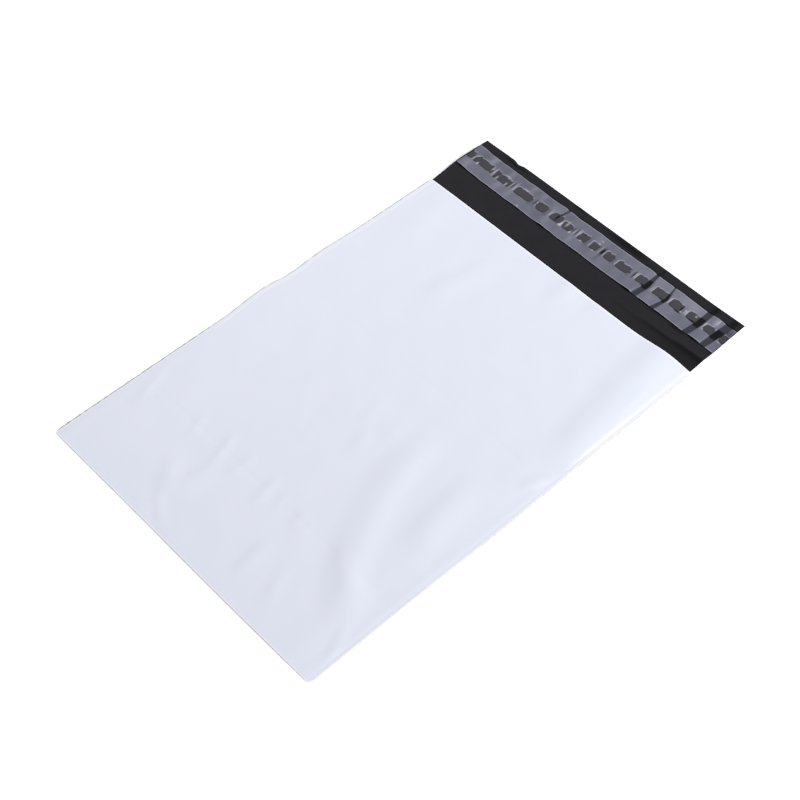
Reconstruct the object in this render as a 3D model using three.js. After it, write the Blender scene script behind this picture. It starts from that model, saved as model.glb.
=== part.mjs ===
// Poly mailer bag, empty and lying flat on a table with its closing flap open.
//
// Millimetres, +Z up. The origin is on the table under the middle of the bag. +Y runs from the folded bottom
// of the bag to the free edge of its flap, and +X to the right when the flap points away.
//
// The bag is one strip of film. It is folded across its width at the bottom, then sealed and cut with a hot
// knife down both sides. The back layer is longer than the front one, and what stands past the front layer's
// lip is the flap. A strip of hot-melt adhesive runs across the flap, with a release liner over it.
// Rows run along Y and columns along X, and every layer shares them, so layers that touch stay parallel.

import * as THREE from 'three';

// Driving dimensions of the bag.
const BAG_WIDTH = 190;
const POCKET_DEPTH = 261; // from the bottom fold to the lip of the front layer
const FLAP_DEPTH = 45.7; // from the lip to the free edge of the back layer
const FILM = 0.065; // thickness of the film
const SEAM_WIDTH = 1.5; // fused band down each side

// Driving dimensions of the closure.
const LINER_WIDTH = 19.8;
const LINER_THICKNESS = 0.05;
const LINER_TO_FREE_EDGE = 6.6;
const ADHESIVE_WIDTH = 9;
const ADHESIVE_THICKNESS = 0.03;
const CONTACT_GAP = 0.02; // left between pieces that touch

// How far the two layers of the pocket stand apart.
const FOLD_GAP = 0.5; // the bottom fold isn't pressed flat
const POCKET_GAP = 0.6;
const FOLD_EASE = 40; // the gap grows from the fold over this depth
const SEAM_EASE = 11; // and from each seam over this width

// Facets: pocket and flap rows, columns between the seams, and steps round the bottom fold.
const POCKET_ROWS = 26;
const SEAM_TO_SEAM_COLUMNS = 20;
const FOLD_STEPS = 4;

const BAG_LENGTH = POCKET_DEPTH + FLAP_DEPTH;
const HALF_WIDTH = BAG_WIDTH / 2;
const SEAM_INSIDE = HALF_WIDTH - SEAM_WIDTH;

// Edges that stand off the table, each as its place from the bottom fold, the half length of the wave that it
// makes along the edge, and its height. The lift dies out over EDGE_REACH towards the middle of the bag.
const EDGE_REACH = 24;
const LEFT_EDGE_LIFTS = [{ place: 290, halfLength: 25, height: 1.9 }];
const RIGHT_EDGE_LIFTS = [{ place: BAG_LENGTH, halfLength: 32, height: 0.9 }];

// Folds that stand up in the front layer. Each crest runs from start to end, bowed by its power.
const LIP_WAVE = { start: [81, POCKET_DEPTH], end: [84, 150], power: 1, halfWidth: 17, height: 1.5 };
const LONG_RIDGE = { start: [40, 130], end: [92, 30], power: 1.6, halfWidth: 15, height: 0.75 };
const SHORT_RIDGE = { start: [68, 140], end: [80, 75], power: 2, halfWidth: 14, height: 0.55 };
const FRONT_RIDGES = [LIP_WAVE, LONG_RIDGE, SHORT_RIDGE];
const RIDGE_FADE = 25; // a crest rises over this length before its start, and dies out over it at its end

// A smooth hump: 1 at distance 0, and 0 from reach outwards.
function bell(distance, reach) {
  const share = Math.min(Math.abs(distance) / reach, 1);
  return 0.5 * (1 + Math.cos(Math.PI * share));
}

// A smooth step from 0 at value 0 to 1 at value reach.
function ease(value, reach) {
  return THREE.MathUtils.smoothstep(value, 0, reach);
}

// Height of a raised edge: lifts along it, dying out with the distance in from it.
function edgeLift(lifts, fromFold, fromEdge) {
  const alongEdge = lifts.reduce((sum, lift) => sum + lift.height * bell(fromFold - lift.place, lift.halfLength), 0);
  return alongEdge * (1 - ease(fromEdge, EDGE_REACH));
}

// Height of the bag's underside above the table. It is 0 over most of the bag, which lies on the table.
function lieHeight(x, fromFold) {
  const left = edgeLift(LEFT_EDGE_LIFTS, fromFold, x + HALF_WIDTH);
  const right = edgeLift(RIGHT_EDGE_LIFTS, fromFold, HALF_WIDTH - x);
  return left + right;
}

// Height of one standing fold of the front layer at a place.
function ridgeHeight(ridge, x, fromFold) {
  const length = ridge.start[1] - ridge.end[1];
  const travelled = (ridge.start[1] - fromFold) / length;
  if (travelled < -RIDGE_FADE / length || travelled > 1) return 0;
  const bow = Math.max(travelled, 0) ** ridge.power;
  const crest = THREE.MathUtils.lerp(ridge.start[0], ridge.end[0], bow);
  const rise = ease(travelled * length + RIDGE_FADE, RIDGE_FADE);
  const fall = ease((1 - travelled) * length, RIDGE_FADE);
  return ridge.height * rise * fall * bell(x - crest, ridge.halfWidth);
}

// Clear gap between the two layers of the pocket: 0 along the seams, small at the fold, open at the lip.
function layerGap(x, fromFold) {
  const slack = THREE.MathUtils.lerp(FOLD_GAP, POCKET_GAP, ease(fromFold, FOLD_EASE));
  const ridges = FRONT_RIDGES.reduce((sum, ridge) => sum + ridgeHeight(ridge, x, fromFold), 0);
  const fromSeam = SEAM_INSIDE - Math.abs(x);
  return (slack + ridges) * Math.sqrt(ease(fromSeam, SEAM_EASE));
}

// Collects the points and triangles of one closed solid.
class Skin {
  constructor() {
    this.points = [];
    this.triangles = [];
  }

  // Adds a point given by its distance from the bottom fold, and returns its number.
  point(x, fromFold, z) {
    this.points.push(x, fromFold - BAG_LENGTH / 2, z);
    return this.points.length / 3 - 1;
  }

  // Adds a triangle, unless two of its corners are one welded point.
  triangle(a, b, c) {
    if (a !== b && b !== c && c !== a) this.triangles.push(a, b, c);
  }

  // A layer through rows of points, in order of Y. Both sides of a film are cut along the same diagonals.
  layer(rows, facingUp, first = 0, last = rows[0].length - 1) {
    for (let row = 0; row + 1 < rows.length; row++) {
      for (let column = first; column < last; column++) {
        this.cell(rows[row], rows[row + 1], column, facingUp);
      }
    }
  }

  // One cell between two rows, as two triangles.
  cell(near, far, column, facingUp) {
    const [a, b, c, d] = [near[column], near[column + 1], far[column + 1], far[column]];
    if (facingUp) {
      this.triangle(a, b, c);
      this.triangle(a, c, d);
    } else {
      this.triangle(a, c, b);
      this.triangle(a, d, c);
    }
  }

  // A wall between two lines of points. It faces along the cross product of the lines' way and the way across.
  wall(lower, upper) {
    this.layer([lower, upper], true);
  }

  geometry() {
    const geometry = new THREE.BufferGeometry();
    geometry.setAttribute('position', new THREE.Float32BufferAttribute(this.points, 3));
    geometry.setIndex(this.triangles);
    geometry.computeVertexNormals();
    return geometry;
  }
}

// X of every column: the cut edge, the inside of the seam, the pocket, and the same on the other side.
function columnPlaces() {
  const places = [-HALF_WIDTH];
  for (let column = 0; column <= SEAM_TO_SEAM_COLUMNS; column++) {
    places.push(THREE.MathUtils.lerp(-SEAM_INSIDE, SEAM_INSIDE, column / SEAM_TO_SEAM_COLUMNS));
  }
  places.push(HALF_WIDTH);
  return places;
}

// Distances from the fold of the closure's edges, and of the rows across the pocket and the flap.
const LINER_FAR = BAG_LENGTH - LINER_TO_FREE_EDGE;
const LINER_NEAR = LINER_FAR - LINER_WIDTH;
const LINER_MIDDLE = (LINER_NEAR + LINER_FAR) / 2;
const ADHESIVE_NEAR = LINER_MIDDLE - ADHESIVE_WIDTH / 2;
const ADHESIVE_FAR = LINER_MIDDLE + ADHESIVE_WIDTH / 2;
const LINER_PLACES = [LINER_NEAR, ADHESIVE_NEAR, LINER_MIDDLE, ADHESIVE_FAR, LINER_FAR];
const ADHESIVE_PLACES = [ADHESIVE_NEAR, LINER_MIDDLE, ADHESIVE_FAR];
const FLAP_PLACES = [(POCKET_DEPTH + LINER_NEAR) / 2, ...LINER_PLACES, BAG_LENGTH];
const COLUMNS = columnPlaces();

// The folded film with its fused sides.
function filmGeometry() {
  const skin = new Skin();
  const lastInside = COLUMNS.length - 2;
  const pocketPlaces = Array.from({ length: POCKET_ROWS }, (_, row) => (POCKET_DEPTH * (row + 1)) / POCKET_ROWS);
  const under = [];
  const seamLine = [];
  const floor = [];
  const ceiling = [];
  const front = [];

  // Rows of the pocket. Row 0 is where the bottom fold's round nose meets the two flat layers.
  for (const place of [0, ...pocketPlaces]) {
    const rows = { under: [], floor: [], ceiling: [], front: [] };
    for (const x of COLUMNS) {
      const gap = layerGap(x, place);
      const fromFold = place > 0 ? place : FILM + gap / 2;
      const low = lieHeight(x, place);
      const welded = gap === 0;
      rows.under.push(skin.point(x, fromFold, low));
      rows.floor.push(skin.point(x, fromFold, low + FILM));
      rows.ceiling.push(welded ? rows.floor.at(-1) : skin.point(x, fromFold, low + FILM + gap));
      rows.front.push(skin.point(x, fromFold, low + gap + 2 * FILM));
    }
    under.push(rows.under);
    floor.push(rows.floor);
    ceiling.push(rows.ceiling);
    front.push(rows.front);
    seamLine.push([rows.floor[0], rows.floor.at(-1)]);
  }

  // Rows of the flap, which is the back layer alone.
  const flapUnder = [under.at(-1)];
  const flapTop = [floor.at(-1)];
  for (const place of FLAP_PLACES) {
    flapUnder.push(COLUMNS.map((x) => skin.point(x, place, lieHeight(x, place))));
    flapTop.push(COLUMNS.map((x) => skin.point(x, place, lieHeight(x, place) + FILM)));
  }

  skin.layer(under, false);
  skin.layer(front, true);
  skin.layer(floor, true, 1, lastInside);
  skin.layer(ceiling, false, 1, lastInside);
  skin.layer(flapUnder, false);
  skin.layer(flapTop, true);
  skin.wall(front.at(-1), ceiling.at(-1));
  skin.wall(flapTop.at(-1), flapUnder.at(-1));
  addBottomFold(skin, { under: under[0], floor: floor[0], ceiling: ceiling[0], front: front[0] });
  addSideCuts(skin, [...under, ...flapUnder.slice(1)], [...floor, ...flapTop.slice(1)], front);
  return skin.geometry();
}

// The bottom fold: the film turns half a circle from the back layer to the front one.
function addBottomFold(skin, edge) {
  const outside = [edge.under];
  const inside = [edge.floor];
  for (let step = 1; step < FOLD_STEPS; step++) {
    const turn = (Math.PI * step) / FOLD_STEPS;
    const outsideRow = [];
    const insideRow = [];
    COLUMNS.forEach((x, column) => {
      const gap = layerGap(x, 0);
      const middle = lieHeight(x, 0) + FILM + gap / 2;
      const centre = FILM + gap / 2;
      const arc = (radius) => skin.point(x, centre - radius * Math.sin(turn), middle - radius * Math.cos(turn));
      outsideRow.push(arc(FILM + gap / 2));
      insideRow.push(gap === 0 ? edge.floor[column] : arc(gap / 2));
    });
    outside.push(outsideRow);
    inside.push(insideRow);
  }
  outside.push(edge.front);
  inside.push(edge.ceiling);
  skin.layer(outside, true);
  skin.layer(inside, false, 1, COLUMNS.length - 2);

  // The round nose is cut off flat at both sides.
  for (let step = 0; step + 1 < outside.length; step++) {
    skin.triangle(edge.floor[0], outside[step][0], outside[step + 1][0]);
    skin.triangle(edge.floor.at(-1), outside[step + 1].at(-1), outside[step].at(-1));
  }
}

// The hot-cut sides: back layer up to the weld, then front layer where there is one.
function addSideCuts(skin, under, weld, front) {
  const down = (rows, column) => rows.map((row) => row.at(column));
  const [left, right] = [0, -1];
  const pocketWeld = weld.slice(0, front.length);
  skin.wall(down(weld, left), down(under, left));
  skin.wall(down(front, left), down(pocketWeld, left));
  skin.wall(down(under, right), down(weld, right));
  skin.wall(down(pocketWeld, right), down(front, right));
}

// A flat strip that lies along the flap: base is its height over the flap's underside.
function stripGeometry(places, base, thickness) {
  const skin = new Skin();
  const rowAt = (place, height) => COLUMNS.map((x) => skin.point(x, place, lieHeight(x, place) + height));
  const lower = places.map((place) => rowAt(place, base));
  const upper = places.map((place) => rowAt(place, base + thickness));
  skin.layer(lower, false);
  skin.layer(upper, true);
  skin.wall(lower[0], upper[0]);
  skin.wall(upper.at(-1), lower.at(-1));
  skin.wall(upper.map((row) => row[0]), lower.map((row) => row[0]));
  skin.wall(lower.map((row) => row.at(-1)), upper.map((row) => row.at(-1)));
  return skin.geometry();
}

function namedPiece(name, geometry, look) {
  const piece = new THREE.Mesh(geometry, new THREE.MeshStandardMaterial(look));
  piece.name = name;
  return piece;
}

const ADHESIVE_BASE = FILM + CONTACT_GAP;
const LINER_BASE = ADHESIVE_BASE + ADHESIVE_THICKNESS + CONTACT_GAP;

const filmLook = { color: 0xe6eaf6, roughness: 0.42, metalness: 0 };
const adhesiveLook = { color: 0x4a4b50, roughness: 0.25, metalness: 0 };
const linerLook = { color: 0x7a7988, roughness: 0.22, metalness: 0 };

const bag = new THREE.Group();
bag.add(namedPiece('bag_film', filmGeometry(), filmLook));
bag.add(namedPiece(
  'adhesive_strip',
  stripGeometry(ADHESIVE_PLACES, ADHESIVE_BASE, ADHESIVE_THICKNESS),
  adhesiveLook,
));
bag.add(namedPiece('release_liner', stripGeometry(LINER_PLACES, LINER_BASE, LINER_THICKNESS), linerLook));

export default bag;
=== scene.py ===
"""Looks of an empty poly mailer bag that lies flat with its closing flap open.

One strip of co-extruded polyethylene film, white outside and black inside, is folded across its width at the
bottom and welded down both sides. The back layer is longer than the front one. What stands past the front
layer's lip is the flap, and it carries a strip of hot-melt adhesive under a release liner.

Sizes in the classes are in millimetres, and Blender's are in metres. A place on the bag is given as across,
from -95 at the left cut edge to 95 at the right one, and along, from 0 at the bottom fold to 307 at the free
edge.
"""

import logging
import math
from dataclasses import dataclass, field
from enum import Enum
from typing import Any

import bmesh
import bpy
import numpy as np
from mathutils import Matrix, Vector


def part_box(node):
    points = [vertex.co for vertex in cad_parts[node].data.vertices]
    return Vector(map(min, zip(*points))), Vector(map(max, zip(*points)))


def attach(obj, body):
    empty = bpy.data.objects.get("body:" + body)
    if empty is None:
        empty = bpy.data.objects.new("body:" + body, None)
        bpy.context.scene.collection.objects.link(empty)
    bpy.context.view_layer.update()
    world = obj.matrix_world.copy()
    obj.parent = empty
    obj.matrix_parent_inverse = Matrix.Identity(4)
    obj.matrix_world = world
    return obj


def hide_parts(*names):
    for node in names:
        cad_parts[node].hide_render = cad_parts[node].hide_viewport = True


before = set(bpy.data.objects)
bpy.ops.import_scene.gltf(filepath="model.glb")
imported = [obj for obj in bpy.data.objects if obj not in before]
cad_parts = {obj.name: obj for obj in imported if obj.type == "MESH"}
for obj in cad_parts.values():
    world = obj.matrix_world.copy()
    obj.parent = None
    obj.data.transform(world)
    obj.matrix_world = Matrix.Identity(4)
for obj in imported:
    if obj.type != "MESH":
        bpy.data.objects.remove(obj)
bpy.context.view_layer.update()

LOG = logging.getLogger("poly_mailer")
MM = 0.001
BODY = "root"
TINY = 1e-6
POCKET = 261.0
ADHESIVE = 0.03
LINER = 0.05
UNDER_ADHESIVE = 0.03
UNDER_LINER = 0.02

Grid = np.ndarray
Place = tuple[float, float]


class Finish(Enum):
    """The two sides of the film, as material slots of its mesh."""

    WHITE = 0
    BLACK = 1


# ----------------------------------------------------------------------
# Small tools


def linear(code: str) -> tuple[float, float, float, float]:
    """Turns an sRGB colour into the linear one that shaders use.

    Args:
        code: The colour as a hex value, such as "#d7dcea".

    Returns:
        Red, green, blue and an alpha of 1.
    """
    parts = [int(code[start : start + 2], 16) / 255 for start in (1, 3, 5)]
    red, green, blue = (p / 12.92 if p <= 0.04045 else ((p + 0.055) / 1.055) ** 2.4 for p in parts)
    return red, green, blue, 1.0


def bell(distance: Grid, reach: Grid | float) -> Grid:
    """Gives a smooth hump, 1 at distance 0 and 0 from reach outwards."""
    share = np.clip(np.abs(distance) / reach, 0.0, 1.0)
    return 0.5 * (1.0 + np.cos(np.pi * share))


def ease(value: Grid, reach: float) -> Grid:
    """Gives a smooth step, 0 up to a value of 0 and 1 from reach onwards."""
    share = np.clip(value / max(reach, TINY), 0.0, 1.0)
    return share * share * (3.0 - 2.0 * share)


def graded(start: float, end: float, fine: float, coarse: float, growth: float = 1.35) -> Grid:
    """Places along a line, close together at both ends and wider apart in the middle.

    Args:
        start: The first place.
        end: The last place.
        fine: The spacing at the ends.
        coarse: The widest spacing.
        growth: How much each step from an end is wider than the one before it.

    Returns:
        The places, from start to end.
    """
    steps = []
    step = fine
    while step < coarse and 2 * (sum(steps) + step) < end - start:
        steps.append(step)
        step *= growth
    middle = end - start - 2 * sum(steps)
    count = max(1, round(middle / coarse))
    steps = steps + [middle / count] * count + steps[::-1]
    return start + np.concatenate([[0.0], np.cumsum(steps)])


def ripple(across: Grid, along: Grid, seed: int, shortest: float, longest: float, waves: int = 24) -> Grid:
    """Soft random relief, as a sum of long and short waves that run in all directions.

    Args:
        across: Places across the bag.
        along: Places along the bag.
        seed: What the waves are drawn from.
        shortest: The shortest wavelength, in mm.
        longest: The longest wavelength, in mm.
        waves: How many waves are added.

    Returns:
        Relief that is mostly between -1 and 1.
    """
    draw = np.random.default_rng(seed)
    total = np.zeros(np.broadcast(across, along).shape)
    for _ in range(waves):
        length = math.exp(draw.uniform(math.log(shortest), math.log(longest)))
        heading = draw.uniform(0, 2 * math.pi)
        phase = draw.uniform(0, 2 * math.pi)
        travel = across * math.cos(heading) + along * math.sin(heading)
        total += np.cos(2 * math.pi * travel / length + phase)
    return total / math.sqrt(waves)


def add_node(
    tree: bpy.types.NodeTree,
    kind: str,
    settings: dict[str | int, Any] | None = None,
    links: dict[str | int, bpy.types.NodeSocket] | None = None,
) -> bpy.types.Node:
    """Adds one node to a tree.

    Args:
        tree: The tree that it goes in.
        kind: The node's type.
        settings: Values by name. A property's name sets that, and any other name or number sets an input.
        links: The socket that feeds each named or numbered input.

    Returns:
        The new node.
    """
    node = tree.nodes.new(kind)
    for name, value in (settings or {}).items():
        if isinstance(name, str) and hasattr(node, name):
            setattr(node, name, value)
        else:
            node.inputs[name].default_value = value
    for name, source in (links or {}).items():
        tree.links.new(source, node.inputs[name])
    return node


# ----------------------------------------------------------------------
# Finishes


@dataclass(frozen=True)
class Plastic:
    """What the bag's plastics share: one glossy or satin surface over a coloured base."""

    name: str
    ior: float
    roughness: float

    def start(self) -> tuple[bpy.types.Material, bpy.types.NodeTree, bpy.types.Node]:
        """Makes the material with its shader and nothing else.

        Returns:
            The material, its node tree and its shader node.
        """
        material = bpy.data.materials.new(self.name)
        material.use_nodes = True
        tree = material.node_tree
        tree.nodes.clear()
        shader = add_node(tree, "ShaderNodeBsdfPrincipled", {"Roughness": self.roughness, "IOR": self.ior})
        add_node(tree, "ShaderNodeOutputMaterial", links={"Surface": shader.outputs["BSDF"]})
        return material, tree, shader

    def clouds(
        self,
        tree: bpy.types.NodeTree,
        size_mm: float,
        detail: float,
        roughness: float = 0.5,
        stretch: tuple[float, float, float] = (1.0, 1.0, 1.0),
    ) -> bpy.types.NodeSocket:
        """Makes a soft random pattern.

        Args:
            tree: The material's node tree.
            size_mm: The size of its patches.
            detail: How many finer patterns are in it.
            roughness: How strong the finer patterns are.
            stretch: The pattern's scale each way. A lower one draws it out.

        Returns:
            The pattern, from 0 to 1.
        """
        place = add_node(tree, "ShaderNodeTexCoord").outputs["Object"]
        drawn_out = add_node(tree, "ShaderNodeMapping", {"Scale": stretch}, {"Vector": place})
        settings = {"Scale": 1 / (size_mm * MM), "Detail": detail, "Roughness": roughness}
        noise = add_node(tree, "ShaderNodeTexNoise", settings, {"Vector": drawn_out.outputs["Vector"]})
        return noise.outputs["Fac"]

    def clouded(
        self, tree: bpy.types.NodeTree, colours: tuple[str, str], pattern: bpy.types.NodeSocket
    ) -> bpy.types.Node:
        """Lays two colours beside each other by a pattern."""
        settings = {"data_type": "RGBA", 6: linear(colours[0]), 7: linear(colours[1])}
        return add_node(tree, "ShaderNodeMix", settings, {0: pattern})

    def overlay(
        self, tree: bpy.types.NodeTree, under: bpy.types.Node, marks: tuple[tuple[str, str], ...]
    ) -> bpy.types.Node:
        """Lays more colours over the one so far, where the mesh carries marks.

        Args:
            tree: The material's node tree.
            under: The mix node that gives the colour so far.
            marks: Each mark's name and colour, in the order in which they are laid.

        Returns:
            The mix node that gives the new colour.
        """
        for mark, shade in marks:
            amount = add_node(tree, "ShaderNodeAttribute", {"attribute_name": mark})
            settings = {"data_type": "RGBA", 7: linear(shade)}
            under = add_node(tree, "ShaderNodeMix", settings, {0: amount.outputs["Fac"], 6: under.outputs[2]})
        return under

    def grain(
        self,
        tree: bpy.types.NodeTree,
        shader: bpy.types.Node,
        size_mm: float,
        height_mm: float,
        strength: float,
    ) -> None:
        """Roughens the surface with a fine soft grain.

        Args:
            tree: The material's node tree.
            shader: Its shader.
            size_mm: The size of the grain.
            height_mm: The height of the grain.
            strength: How much of that height shows.
        """
        settings = {"Strength": strength, "Distance": height_mm * MM}
        bump = add_node(tree, "ShaderNodeBump", settings, {"Height": self.clouds(tree, size_mm, 2.0)})
        tree.links.new(bump.outputs["Normal"], shader.inputs["Normal"])


@dataclass(frozen=True)
class WhiteFilm(Plastic):
    """Blown low-density polyethylene filled with titanium dioxide.

    The filler makes it opaque and a little blue, and the blowing leaves a satin skin with a fine, soft grain
    and cloudy patches where the film is a little thicker. Painted highlight lightens it along the lip, the
    fold and beside the seams, and painted shade greys the outer side of the fold.
    """

    name: str = "white_ldpe_film"
    ior: float = 1.51
    roughness: float = 0.42
    lavender: str = "#e8e9f6"
    sky: str = "#e3ebf6"
    # Painted highlight along the lip, the fold and beside the seams.
    whitened: str = "#fbfcff"
    # Grey for painted shade on the fold's outer turn.
    scorched: str = "#93959c"
    cloud_mm: float = 16.0
    grain_mm: float = 0.9  # the real grain is 0.1 to 0.3 mm, which is too fine to show
    grain_height_mm: float = 0.004

    def make(self) -> bpy.types.Material:
        """Makes the film's white side.

        Returns:
            The material.
        """
        material, tree, shader = self.start()
        patches = self.clouds(tree, self.cloud_mm, 5.0, 0.6, (0.4, 1.0, 1.0))
        colour = self.clouded(tree, (self.lavender, self.sky), patches)
        colour = self.overlay(tree, colour, (("whitened", self.whitened), ("scorched", self.scorched)))
        tree.links.new(colour.outputs[2], shader.inputs["Base Color"])
        self.grain(tree, shader, self.grain_mm, self.grain_height_mm, 0.35)
        return material


@dataclass(frozen=True)
class BlackFilm(Plastic):
    """The same blown polyethylene filled with carbon black.

    It looks almost black and quite matt, as a fine grain breaks up the lights it reflects, and it is a little
    dusty. Painted shade makes it a deeper black along the liner's edges, just past the lip and on the
    crease's near side, and so do patches that are partly painted shade and partly dark smudges.
    """

    name: str = "black_ldpe_film"
    ior: float = 1.27
    roughness: float = 0.5
    body: str = "#1e1e22"
    dusty: str = "#27272b"
    # Near-black for painted shade and dark smudges.
    wetted: str = "#020203"
    whitened: str = "#c9ccd4"
    cloud_mm: float = 9.0
    grain_mm: float = 0.8  # the real grain is 0.1 to 0.3 mm, which is too fine to show
    grain_height_mm: float = 0.004

    def make(self) -> bpy.types.Material:
        """Makes the film's black side.

        Returns:
            The material.
        """
        material, tree, shader = self.start()
        colour = self.clouded(tree, (self.body, self.dusty), self.clouds(tree, self.cloud_mm, 4.0, 0.6))
        colour = self.overlay(tree, colour, (("wetted", self.wetted), ("whitened", self.whitened)))
        tree.links.new(colour.outputs[2], shader.inputs["Base Color"])
        self.grain(tree, shader, self.grain_mm, self.grain_height_mm, 0.5)
        return material


@dataclass(frozen=True)
class FusedBead(Plastic):
    """The thin fin that a hot knife leaves where it cuts and melts both layers together.

    White and black polyethylene run into each other, so its outermost part is a mottled grey. That grey is
    partly painted shade, and its bright white is partly painted highlight.
    """

    name: str = "fused_bead"
    ior: float = 1.51
    roughness: float = 0.35
    # White, partly the fin's own and partly painted highlight.
    pale: str = "#fafbff"
    # Grey that is partly fused film and partly painted shade.
    scorched: str = "#5e6067"
    mottle_mm: float = 3.0
    mottle_from: float = 0.32
    mottle_to: float = 0.55

    def make(self) -> bpy.types.Material:
        """Makes the fin's white and mottled grey.

        Returns:
            The material.
        """
        material, tree, shader = self.start()
        mottle = self.clouds(tree, self.mottle_mm, 3.0, 0.6)
        burn = add_node(tree, "ShaderNodeAttribute", {"attribute_name": "scorched"}).outputs["Fac"]
        settings = {"From Min": self.mottle_from, "From Max": self.mottle_to}
        amount = add_node(tree, "ShaderNodeMapRange", settings, {"Value": mottle, "To Max": burn})
        colour = self.clouded(tree, (self.pale, self.scorched), amount.outputs["Result"])
        tree.links.new(colour.outputs[2], shader.inputs["Base Color"])
        return material


@dataclass(frozen=True)
class ReleaseFilm(Plastic):
    """Thin silicone-coated polyethylene film over the adhesive.

    It is hazy, so over the black flap it looks lavender grey. Where it is pressed down onto the adhesive, or
    creased into it, there is no air under it and the black shows through; the creases are also partly painted
    shade. Painted highlight lies along its cut edges, on the far and left rims of its pads, in flecks and in
    bands across it, and painted shade lies on the near rims of its pads.
    """

    name: str = "silicone_release_film"
    ior: float = 1.36
    roughness: float = 0.28
    haze: str = "#797a88"
    # Darker ground between the lighter bands of painted sheen.
    faint_haze: str = "#60616d"
    # Cut-edge lines, light rims, bands and flecks: painted highlight; dark rims: painted shade.
    marks: tuple[tuple[str, str], ...] = (
        ("slit", "#9d9dad"),
        ("pressed", "#454549"),
        ("strained", "#a3a3b2"),
        ("rim", "#1b1c20"),
        # Crease colour: partly the black showing through, partly painted shade.
        ("buckled", "#30323b"),
        # Dark bars, and near-black in the creases over the glue that is partly painted shade.
        ("doubled", "#040405"),
        ("fleck", "#e6e6ee"),
    )
    streak_mm: float = 6.0

    def make(self) -> bpy.types.Material:
        """Makes the liner's film.

        Returns:
            The material.
        """
        material, tree, shader = self.start()
        # Lighter bands across the liner: painted sheen.
        streaks = self.clouds(tree, self.streak_mm, 3.0, 0.5, (1.0, 0.25, 1.0))
        colour = self.clouded(tree, (self.faint_haze, self.haze), streaks)
        colour = self.overlay(tree, colour, self.marks)
        tree.links.new(colour.outputs[2], shader.inputs["Base Color"])
        return material


@dataclass(frozen=True)
class HotMelt(Plastic):
    """Pressure-sensitive hot-melt adhesive, laid on as a wet ribbon.

    It sets clear and glossy, so on the black film it is a wet-looking dark grey.
    """

    name: str = "hot_melt_adhesive"
    ior: float = 1.48
    roughness: float = 0.12
    body: str = "#3c3b3e"
    thick: str = "#4a4849"
    flow_mm: float = 3.0

    def make(self) -> bpy.types.Material:
        """Makes the adhesive.

        Returns:
            The material.
        """
        material, tree, shader = self.start()
        colour = self.clouded(tree, (self.body, self.thick), self.clouds(tree, self.flow_mm, 2.0))
        tree.links.new(colour.outputs[2], shader.inputs["Base Color"])
        return material


@dataclass(frozen=True)
class LitOpalBoard(Plastic):
    """An opal acrylic light table.

    It is matt white and lit softly from below, so what lies on it has no hard shadow.
    """

    name: str = "opal_light_table"
    ior: float = 1.49
    roughness: float = 0.8
    board: str = "#f4f5f6"
    glow: float = 0.32

    def make(self) -> bpy.types.Material:
        """Makes the table top.

        Returns:
            The material.
        """
        material, _, shader = self.start()
        shader.inputs["Base Color"].default_value = linear(self.board)
        shader.inputs["Emission Color"].default_value = linear("#ffffff")
        shader.inputs["Emission Strength"].default_value = self.glow
        return material


# ----------------------------------------------------------------------
# How the film lies


@dataclass(frozen=True)
class EdgeLift:
    """A place where an edge stands off the table."""

    place: float
    half_length: float
    height: float


@dataclass(frozen=True)
class Ridge:
    """A soft standing fold: a bent crest with a slope on each side.

    Left and right are as seen on the way from start to end. A negative height makes a valley.
    """

    start: Place
    bend: Place
    end: Place
    height: float
    left: float
    right: float
    rise: float = 0.35
    fall: float = 0.35
    pieces: int = 20

    def relief(self, across: Grid, along: Grid) -> Grid:
        """Works out the fold's height.

        Args:
            across: Places across the bag.
            along: Places along the bag.

        Returns:
            The height at each place, in mm.
        """
        share = np.linspace(0.0, 1.0, self.pieces + 1)[:, None]
        start, bend, end = (np.array(p, float) for p in (self.start, self.bend, self.end))
        line = (1 - share) ** 2 * start + 2 * share * (1 - share) * bend + share**2 * end
        best = np.full(across.shape, np.inf)
        travelled = np.zeros(across.shape)
        side = np.zeros(across.shape)
        for number in range(self.pieces):
            begin = line[number]
            way = line[number + 1] - begin
            off_x = across - begin[0]
            off_y = along - begin[1]
            foot = np.clip((off_x * way[0] + off_y * way[1]) / (way @ way), 0.0, 1.0)
            distance = np.hypot(off_x - foot * way[0], off_y - foot * way[1])
            nearer = distance < best
            best = np.where(nearer, distance, best)
            travelled = np.where(nearer, (number + foot) / self.pieces, travelled)
            side = np.where(nearer, way[0] * off_y - way[1] * off_x, side)
        slope = bell(best, np.where(side > 0, self.left, self.right))
        return self.height * slope * ease(travelled, self.rise) * ease(1.0 - travelled, self.fall)


@dataclass(frozen=True)
class Dent:
    """A soft oval hump, or a hollow where its height is negative."""

    place: Place
    half_across: float
    half_along: float
    height: float
    turn_deg: float = 0.0

    def relief(self, across: Grid, along: Grid) -> Grid:
        """Works out the hump's height.

        Args:
            across: Places across the bag.
            along: Places along the bag.

        Returns:
            The height at each place, in mm.
        """
        turn = math.radians(self.turn_deg)
        off_x = across - self.place[0]
        off_y = along - self.place[1]
        wide = (off_x * math.cos(turn) + off_y * math.sin(turn)) / self.half_across
        long = (off_y * math.cos(turn) - off_x * math.sin(turn)) / self.half_along
        return self.height * np.exp(-(wide**2) - long**2)


@dataclass(frozen=True)
class EdgeBulge:
    """A stretch of a side edge that the hot knife cut further out."""

    place: float
    below: float
    above: float
    out: float

    def shift(self, along: Grid) -> Grid:
        """Works out how far out the edge is at each place along the bag."""
        off = along - self.place
        return self.out * bell(off, np.where(off < 0, self.below, self.above))


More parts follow.
